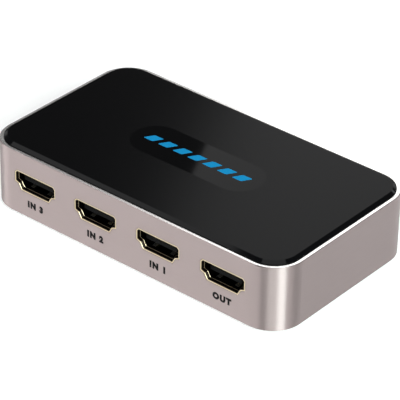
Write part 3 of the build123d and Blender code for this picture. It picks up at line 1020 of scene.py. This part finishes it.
@dataclass
class TopLid:
    """The acrylic lid with its polished zone and a row of plain blue dashes."""

    dash_count: int = 7
    dash_length: float = 3.4
    dash_width: float = 3.0
    dash_step: float = 5.4
    dash_lean: float = 0.9
    dash_corner: float = 0.35
    corner_turns: tuple = (0, 30, 60, 90)
    ink: float = 0.004

    def show_cuts(self, lid: bpy.types.Object) -> None:
        """Gives the lid's bevel and its upright edge the finish of their cutters.

        Args:
            lid: The lid's object.
        """
        lid.data.materials.append(LID_BEVEL.material())
        lid.data.materials.append(LID_EDGE.material())
        for face in lid.data.polygons:
            upright, sloping = abs(face.normal.z) < ACROSS, face.normal.z < ALONG
            face.material_index = 2 if upright else 1 if sloping else 0

    def dash(self, work: bmesh.types.BMesh, middle: float, top: float) -> None:
        """Adds one leaning dash with rounded corners.

        Args:
            work: The mesh that gets it.
            middle: Its middle along x.
            top: The height of the lid's face, in metres.
        """
        half_length, half_width = self.dash_length / 2, self.dash_width / 2
        loop = []
        for sx, sy, start in CORNERS:
            for turn in self.corner_turns:
                angle = math.radians(start + turn)
                x = sx * (half_length - self.dash_corner) + self.dash_corner * math.cos(angle)
                y = sy * (half_width - self.dash_corner) + self.dash_corner * math.sin(angle)
                lean = y / half_width * self.dash_lean
                loop.append(work.verts.new((mm(middle + x + lean), mm(y), top + mm(self.ink))))
        thicken(work, [work.faces.new(loop)], (0.0, 0.0, -mm(2 * self.ink)))

    def build(self, frame: dict) -> None:
        """Dresses the lid, its film and the tray under it, and prints the dashes.
        """
        dress(frame, LID_ACRYLIC, "top_panel")
        self.show_cuts(frame["nodes"]["top_panel"])
        dress(frame, FILM, "panel_adhesive")
        dress(frame, BLACK_ABS, "top_tray")
        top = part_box("top_panel")[1].z
        work = bmesh.new()
        start = -(self.dash_count - 1) / 2 * self.dash_step
        for place in range(self.dash_count):
            self.dash(work, start + place * self.dash_step, top)
        mesh = close_work(work, bpy.data.meshes.new("accent_dashes"))
        new_piece("accent_dashes", mesh, ACCENT_INK)


@dataclass
class Underside:
    """The bottom cover with its screws and feet."""

    def build(self, frame: dict) -> None:
        """Dresses the cover, the screws and the feet.
        """
        dress(frame, BLACK_ABS, "bottom_cover")
        dress(frame, BLACK_STEEL, "cover_screws")
        dress(frame, FOOT_RUBBER, "rubber_feet")


@dataclass
class VideoSockets:
    """The four video sockets, each a gilt shell round a black tongue.

    The springs of a shell lie near the height of its opening, behind its mouth.
    """

    names: tuple = ("input_3", "input_2", "input_1", "output")
    port_z: float = 12.1
    half_opening: float = 2.26
    spring_start: float = 2.1

    def show_springs(self, shell: bpy.types.Object) -> None:
        """Gives the four springs inside a shell plain nickel, free of the shade painted on the rest of
        the inside.

        Args:
            shell: The shell's object.
        """
        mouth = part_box(shell.name)[0].y
        shell.data.materials.append(NICKEL.material())
        for face in shell.data.polygons:
            inside = abs(face.center.z - mm(self.port_z)) < mm(self.half_opening)
            deep = face.center.y - mouth > mm(self.spring_start)
            flat = abs(face.normal.x) < ACROSS
            face.material_index = 1 if inside and deep and flat else 0

    def build(self, frame: dict) -> None:
        """Dresses the shells with their springs, the tongues and the contacts.
        """
        for name in self.names:
            dress(frame, GILT_SHELL_PAINTED_SHADE, name + "_shell")
            self.show_springs(frame["nodes"][name + "_shell"])
            dress(frame, SOCKET_NYLON, name + "_insulator")
            dress(frame, GILT_CONTACT, name + "_contacts")


@dataclass
class PowerSocket:
    """The small power socket in the left end."""

    def build(self, frame: dict) -> None:
        """Dresses the shell, the tongue and the contacts.
        """
        dress(frame, NICKEL, "power_socket_shell")
        dress(frame, SOCKET_NYLON, "power_socket_insulator")
        dress(frame, GILT_CONTACT, "power_socket_contacts")


@dataclass
class BackPanelParts:
    """Lamps, remote window and select key on the back side."""

    def build(self, frame: dict) -> None:
        """Dresses the lenses, the window and the key with its switch.
        """
        dress(frame, EPOXY_LIT, "indicator_1_lens")
        dress(frame, EPOXY, "indicator_2_lens", "indicator_3_lens")
        dress(frame, TINNED, "indicator_leads", "infrared_receiver_leads")
        dress(frame, SMOKED, "infrared_window", "infrared_receiver")
        dress(frame, KEY_ABS, "select_button")
        dress(frame, SWITCH_NYLON, "switch_plunger", "switch_base")
        dress(frame, NICKEL, "switch_cover")
        dress(frame, TINNED, "switch_terminals")


@dataclass
class SnapDome:
    """The sprung metal cross under the select key's plunger.

    It is drawn pressed nearly flat, because a sprung part gives way under the
    plunger and a rigid one would be cut by it at the end of the key's travel.
    """

    leg_width: float = 1.2
    thickness: float = 0.08
    rise: float = 0.04

    def build(self, frame: dict) -> None:
        """Makes the cross from four sloping legs that meet in its middle.
        """
        low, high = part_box("switch_dome")
        middle_x, middle_z = (low.x + high.x) / 2, (low.z + high.z) / 2
        reach, half = (high.x - low.x) / 2, mm(self.leg_width) / 2
        work = bmesh.new()
        top = work.verts.new((middle_x, low.y + mm(self.rise), middle_z))
        slope = mm(self.rise) / reach
        inner, outer = [], []
        for sx, sz, _ in CORNERS:
            spot = (middle_x + sx * half, low.y + slope * (reach - half), middle_z + sz * half)
            inner.append(work.verts.new(spot))
        for ax, az in ((1, 0), (0, 1), (-1, 0), (0, -1)):
            for side in (-1, 1):
                x = middle_x + ax * reach - az * side * half
                z = middle_z + az * reach + ax * side * half
                outer.append(work.verts.new((x, low.y, z)))
        for leg, second in enumerate(inner):
            first = inner[leg - 1]
            work.faces.new((first, outer[2 * leg], outer[2 * leg + 1], second))
            work.faces.new((top, first, second))
        thicken(work, work.faces[:], (0.0, mm(self.thickness), 0.0))
        mesh = close_work(work, bpy.data.meshes.new("snap_dome"))
        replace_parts(new_piece("snap_dome", mesh, NICKEL), "switch_dome")


@dataclass
class CircuitBoard:
    """The board and what is soldered to it."""

    def build(self, frame: dict) -> None:
        """Dresses the board, the chips, the passives and the leads.
        """
        dress(frame, BOARD, "circuit_board")
        dress(frame, CHIP_EPOXY, "switch_chip", "control_chip", "voltage_regulator")
        dress(frame, TINNED, "switch_chip_leads", "control_chip_leads", "voltage_regulator_leads")
        dress(frame, DRAWN_CAN, "electrolytic_capacitors", "crystal")
        dress(frame, FIRED_CERAMIC, "ceramic_capacitors")
        dress(frame, GLAZE, "resistors")


# Shades of daylight. The cool ones keep the highlights on the pinkish metal neutral.
NEUTRAL = (1.0, 1.0, 1.0)
FAINT_BLUE = (0.97, 1.0, 1.03)
PALE_COOL = (0.92, 1.02, 0.99)
COOL = (0.87, 1.02, 0.99)


def hang_lamp(
    name: str, width: float, height: float, radiance: float, colour: tuple = NEUTRAL
) -> bpy.types.Object:
    """Makes a flat, even lamp, with its power worked out from its area and radiance.

    Args:
        name: The lamp's name.
        width: Its width.
        height: Its height, or its depth where it hangs level.
        radiance: How bright it is, where 1 is plain white.
        colour: The shade of its light.

    Returns:
        The lamp's object, still to be put in its place.
    """
    lamp = bpy.data.lights.new(name, "AREA")
    lamp.color = colour
    lamp.shape = "RECTANGLE"
    lamp.size = width
    lamp.size_y = height
    lamp.energy = POWER_OF_WHITE * radiance * width * height
    holder = bpy.data.objects.new(name, lamp)
    bpy.context.scene.collection.objects.link(holder)
    return holder


@dataclass
class Softbox:
    """A lamp at the object's side that faces it.

    Its place is an azimuth, counted from the front side towards the right end,
    an elevation and a distance.
    """

    name: str
    azimuth: float
    elevation: float
    width: float
    height: float
    radiance: float
    colour: tuple = NEUTRAL
    distance: float = 1.6

    def build(self) -> None:
        """Makes the lamp and turns it to the object."""
        holder = hang_lamp(self.name, self.width, self.height, self.radiance, self.colour)
        away = towards(self.azimuth, self.elevation)
        holder.location = away * self.distance
        holder.rotation_euler = away.to_track_quat("Z", "Y").to_euler()


@dataclass
class CeilingLamp:
    """A lamp that hangs level over the table, turned about the upright."""

    name: str
    middle: tuple[float, float]
    width: float
    depth: float
    turn: float
    radiance: float
    height: float = 1.0

    def build(self) -> None:
        """Makes the lamp, facing down."""
        holder = hang_lamp(self.name, self.width, self.depth, self.radiance)
        holder.location = (*self.middle, self.height)
        holder.rotation_euler = (0.0, 0.0, math.radians(self.turn))


@dataclass
class Studio:
    """The white table, the low white wall round it and the soft lamps.

    The lid and its bevel mirror the ceiling lamps, and the brushed ring shows
    the softboxes, drawn out. wall_top and dark_above are sines of the elevation.
    """

    table_half: float = 7.0
    table_squares: int = 8
    table_paint: float = 0.9
    white_near: float = 0.2
    white_far: float = 0.55
    table_lift: float = 0.27
    wall_top: float = 0.14
    dark_above: float = 0.3
    ceiling_level: float = 0.17
    lamps: tuple = (
        CeilingLamp("left_back", (-0.763, 1.375), width=0.6, depth=1.4, turn=26.7, radiance=1.3),
        CeilingLamp("left_front", (-0.831, -0.5), width=0.45, depth=0.75, turn=0.0, radiance=1.45),
        CeilingLamp("overhead", (0.19, -0.17), width=0.91, depth=0.23, turn=39.6, radiance=1.4),
        Softbox("left", -63.0, 17.0, width=0.62, height=0.65, radiance=4.6),
        Softbox("front_left", -24.5, 17.0, width=1.56, height=0.65, radiance=2.87),
        Softbox("front_right", 39.7, 22.0, width=0.81, height=0.8, radiance=4.6, colour=PALE_COOL),
        Softbox("right_strip", 66.5, 22.0, width=0.62, height=0.9, radiance=12.6, colour=COOL),
        Softbox("right_soft", 89.0, 22.0, width=0.55, height=0.9, radiance=1.6),
        Softbox("back_right", 147.0, 17.0, width=1.3, height=0.65, radiance=1.43, colour=FAINT_BLUE),
    )

    def seen_or_mirrored(self, tree: Tree) -> Socket:
        """Tells rays from the camera, a mirror or glass from the rays of plain light.

        Args:
            tree: The table's node tree.

        Returns:
            A value of 1 for the first and 0 for the others.
        """
        path = add_node(tree, "ShaderNodeLightPath")
        glossy = add_node(
            tree,
            "ShaderNodeMath",
            {0: path.outputs["Is Camera Ray"], 1: path.outputs["Is Glossy Ray"]},
            {"operation": "MAXIMUM"},
        )
        return add_node(
            tree,
            "ShaderNodeMath",
            {0: glossy.outputs["Value"], 1: path.outputs["Is Transmission Ray"]},
            {"operation": "MAXIMUM"},
        ).outputs["Value"]

    def laminate(self, tree: Tree) -> Socket:
        """Makes a white surface that keeps shadows near the object, and is white far off.

        Args:
            tree: The table's node tree.

        Returns:
            The surface.
        """
        place = add_node(tree, "ShaderNodeTexCoord").outputs["Object"]
        reach = add_node(tree, "ShaderNodeVectorMath", {0: place}, {"operation": "LENGTH"})
        far = add_node(
            tree,
            "ShaderNodeMapRange",
            {
                "Value": reach.outputs["Value"],
                "From Min": self.white_near,
                "From Max": self.white_far,
            },
            {"interpolation_type": "SMOOTHSTEP"},
        )
        seen = self.seen_or_mirrored(tree)
        grey = (self.table_paint, self.table_paint, self.table_paint, 1.0)
        paint = add_node(tree, "ShaderNodeBsdfDiffuse", {"Color": grey})
        lift = add_node(
            tree, "ShaderNodeMath", {0: seen, 1: self.table_lift}, {"operation": "MULTIPLY"}
        )
        glow = add_node(tree, "ShaderNodeEmission", {"Strength": lift.outputs["Value"]})
        near = add_node(
            tree, "ShaderNodeAddShader", {0: paint.outputs["BSDF"], 1: glow.outputs["Emission"]}
        )
        plain = add_node(tree, "ShaderNodeEmission", {"Strength": 1.0})
        away = add_node(
            tree,
            "ShaderNodeMath",
            {0: far.outputs["Result"], 1: seen},
            {"operation": "MULTIPLY"},
        )
        return add_node(
            tree,
            "ShaderNodeMixShader",
            {0: away.outputs["Value"], 1: near.outputs["Shader"], 2: plain.outputs["Emission"]},
        ).outputs["Shader"]

    def table_material(self) -> bpy.types.Material:
        """Makes the table white laminate, and clear from below to show the underside.

        Returns:
            The table's material.
        """
        made = bpy.data.materials.new("white_laminate_table")
        made.use_nodes = True
        tree = made.node_tree
        tree.nodes.clear()
        surface = self.laminate(tree)
        below = add_node(tree, "ShaderNodeNewGeometry").outputs["Backfacing"]
        clear = add_node(tree, "ShaderNodeBsdfTransparent")
        top_only = add_node(
            tree, "ShaderNodeMixShader", {0: below, 1: surface, 2: clear.outputs["BSDF"]}
        )
        add_node(tree, "ShaderNodeOutputMaterial", {"Surface": top_only.outputs["Shader"]})
        return made

    def build_table(self) -> None:
        """Makes the table top as a grid."""
        work = bmesh.new()
        squares = self.table_squares
        bmesh.ops.create_grid(work, x_segments=squares, y_segments=squares, size=self.table_half)
        mesh = bpy.data.meshes.new("table")
        work.to_mesh(mesh)
        work.free()
        mesh.materials.append(self.table_material())
        table = bpy.data.objects.new("table", mesh)
        bpy.context.scene.collection.objects.link(table)

    def build_world(self) -> None:
        """Makes a white wall up to a low height and a dim ceiling over it."""
        world = bpy.data.worlds.new("studio")
        bpy.context.scene.world = world
        world.use_nodes = True
        tree = world.node_tree
        tree.nodes.clear()
        way = add_node(tree, "ShaderNodeTexCoord").outputs["Generated"]
        axes = add_node(tree, "ShaderNodeSeparateXYZ", {"Vector": way})
        level = add_node(
            tree,
            "ShaderNodeMapRange",
            {
                "Value": axes.outputs["Z"],
                "From Min": self.wall_top,
                "From Max": self.dark_above,
                "To Min": 1.0,
                "To Max": self.ceiling_level,
            },
            {"interpolation_type": "SMOOTHSTEP"},
        )
        light = add_node(
            tree, "ShaderNodeBackground", {"Color": WHITE, "Strength": level.outputs["Result"]}
        )
        add_node(tree, "ShaderNodeOutputWorld", {"Surface": light.outputs["Background"]})

    def build(self) -> None:
        """Builds the table, the walls and every lamp."""
        self.build_table()
        self.build_world()
        for lamp in self.lamps:
            lamp.build()


@dataclass
class PhotoCamera:
    """The camera at the photograph's viewing angle."""

    azimuth: float = 39.726
    elevation: float = 32.198
    roll: float = 0.994
    distance: float = 683.9
    target: tuple = (1.233, 0.0, 8.697)
    lens: float = 217.97
    sensor_width: float = 36.0
    nearest: float = 10.0
    farthest: float = 60000.0

    def build(self) -> None:
        """Places the camera and makes it the scene's own."""
        around, turn = math.radians(self.azimuth), math.radians(self.roll)
        back = towards(self.azimuth, self.elevation)
        right = Vector((math.cos(around), math.sin(around), 0.0))
        above = back.cross(right)
        right_turned = right * math.cos(turn) + above * math.sin(turn)
        above_turned = above * math.cos(turn) - right * math.sin(turn)
        spot = (Vector(self.target) + back * self.distance) * mm(1.0)
        data = bpy.data.cameras.new("photo_camera")
        data.lens = self.lens
        data.sensor_width = self.sensor_width
        data.clip_start, data.clip_end = mm(self.nearest), mm(self.farthest)
        camera = bpy.data.objects.new("photo_camera", data)
        bpy.context.scene.collection.objects.link(camera)
        turned = Matrix((right_turned, above_turned, back)).transposed().to_4x4()
        camera.matrix_world = Matrix.Translation(spot) @ turned
        bpy.context.scene.camera = camera


def main() -> None:
    """Builds every sub-assembly in order and reports each."""
    logging.basicConfig(level=logging.INFO, format="%(message)s")
    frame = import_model()
    bpy.context.scene.view_settings.view_transform = "Standard"
    for part in (
        CaseRing(),
        TopLid(),
        Underside(),
        VideoSockets(),
        PowerSocket(),
        BackPanelParts(),
        SnapDome(),
        CircuitBoard(),
    ):
        part.build(frame)
        LOG.info("built %s", type(part).__name__)
    Studio().build()
    LOG.info("built the studio")
    PhotoCamera().build()
    LOG.info("wrote the sizes")


if __name__ == "__main__":
    main()
